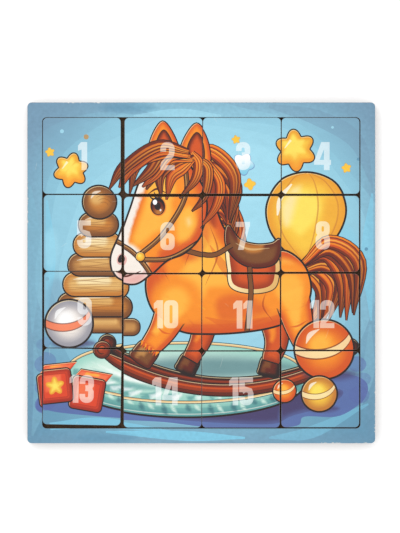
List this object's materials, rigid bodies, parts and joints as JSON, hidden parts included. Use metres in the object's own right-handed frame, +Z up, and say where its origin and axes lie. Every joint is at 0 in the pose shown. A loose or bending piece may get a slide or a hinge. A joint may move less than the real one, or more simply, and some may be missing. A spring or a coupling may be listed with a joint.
{
  "type": "sliding tile puzzle",
  "caption": "Flat square tray with a raised frame, filled with loose numbered rounded-corner tiles that slide in it; one tile without a number lifts out first.",
  "frame": {"origin": "middle of the back board's underside", "axes": "+X to the right along a row of tiles, +Y away from the player, +Z up out of the printed face"},
  "size_m": [0.175, 0.1714, 0.006],
  "materials": {
    "hardboard": "brown pressed hardboard, smooth side up, screen-textured underside",
    "printed_frame": "satin printed board, laser-browned edges",
    "printed_tile": "satin printed board, laser-browned edges"
  },
  "bodies": {
    "tray": {"back_board": "hardboard", "frame": "printed_frame"},
    "tile_01": {"tile_01": "printed_tile"},
    "tile_02": {"tile_02": "printed_tile"},
    "tile_03": {"tile_03": "printed_tile"},
    "tile_04": {"tile_04": "printed_tile"},
    "tile_05": {"tile_05": "printed_tile"},
    "tile_06": {"tile_06": "printed_tile"},
    "tile_07": {"tile_07": "printed_tile"},
    "tile_08": {"tile_08": "printed_tile"},
    "tile_09": {"tile_09": "printed_tile"},
    "tile_10": {"tile_10": "printed_tile"},
    "tile_11": {"tile_11": "printed_tile"},
    "tile_12": {"tile_12": "printed_tile"},
    "tile_13": {"tile_13": "printed_tile"},
    "tile_14": {"tile_14": "printed_tile"},
    "tile_15": {"tile_15": "printed_tile"},
    "tile_16": {"tile_16": "printed_tile"}
  },
  "joints": [
    {"name": "tile_16_lift", "type": "slide", "parent": "tray", "child": "tile_16", "axis": [0, 0, 1], "range_m": [0, 0.19]},
    {"name": "tile_12_slide", "type": "slide", "parent": "tray", "child": "tile_12", "axis": [0, -1, 0], "range_m": [0, 0.039]},
    {"name": "tile_08_slide", "type": "slide", "parent": "tray", "child": "tile_08", "axis": [0, -1, 0], "range_m": [0, 0.039]},
    {"name": "tile_04_slide", "type": "slide", "parent": "tray", "child": "tile_04", "axis": [0, -1, 0], "range_m": [0, 0.039]},
    {"name": "tile_01_slide", "type": "slide", "parent": "tray", "child": "tile_01", "axis": [1, 0, 0], "range_m": [-0.00025, 0.00185]},
    {"name": "tile_02_slide", "type": "slide", "parent": "tray", "child": "tile_02", "axis": [0, 1, 0], "range_m": [-0.0014, 0.00015]},
    {"name": "tile_03_slide", "type": "slide", "parent": "tray", "child": "tile_03", "axis": [0, 1, 0], "range_m": [-0.00109, 0.0001]},
    {"name": "tile_05_slide", "type": "slide", "parent": "tray", "child": "tile_05", "axis": [1, 0, 0], "range_m": [-0.00064, 0.00115]},
    {"name": "tile_06_slide", "type": "slide", "parent": "tray", "child": "tile_06", "axis": [0, 1, 0], "range_m": [-0.0006, 0.0014]},
    {"name": "tile_07_slide", "type": "slide", "parent": "tray", "child": "tile_07", "axis": [0, 1, 0], "range_m": [-0.00095, 0.0011]},
    {"name": "tile_09_slide", "type": "slide", "parent": "tray", "child": "tile_09", "axis": [1, 0, 0], "range_m": [-0.00085, 0.0007]},
    {"name": "tile_10_slide", "type": "slide", "parent": "tray", "child": "tile_10", "axis": [0, 1, 0], "range_m": [-0.00045, 0.0006]},
    {"name": "tile_11_slide", "type": "slide", "parent": "tray", "child": "tile_11", "axis": [0, 1, 0], "range_m": [-0.00045, 0.00095]},
    {"name": "tile_13_slide", "type": "slide", "parent": "tray", "child": "tile_13", "axis": [0, 1, 0], "range_m": [-0.00136, 0.00011]},
    {"name": "tile_14_slide", "type": "slide", "parent": "tray", "child": "tile_14", "axis": [1, 0, 0], "range_m": [-0.00091, 0.0001]},
    {"name": "tile_15_slide", "type": "slide", "parent": "tray", "child": "tile_15", "axis": [1, 0, 0], "range_m": [-0.0001, 0.0006]}
  ],
  "couplings": [
    {"joint": "tile_12_slide", "follows": "tile_16_lift", "ratio": 0.20526},
    {"joint": "tile_08_slide", "follows": "tile_16_lift", "ratio": 0.20526},
    {"joint": "tile_04_slide", "follows": "tile_16_lift", "ratio": 0.20526}
  ]
}
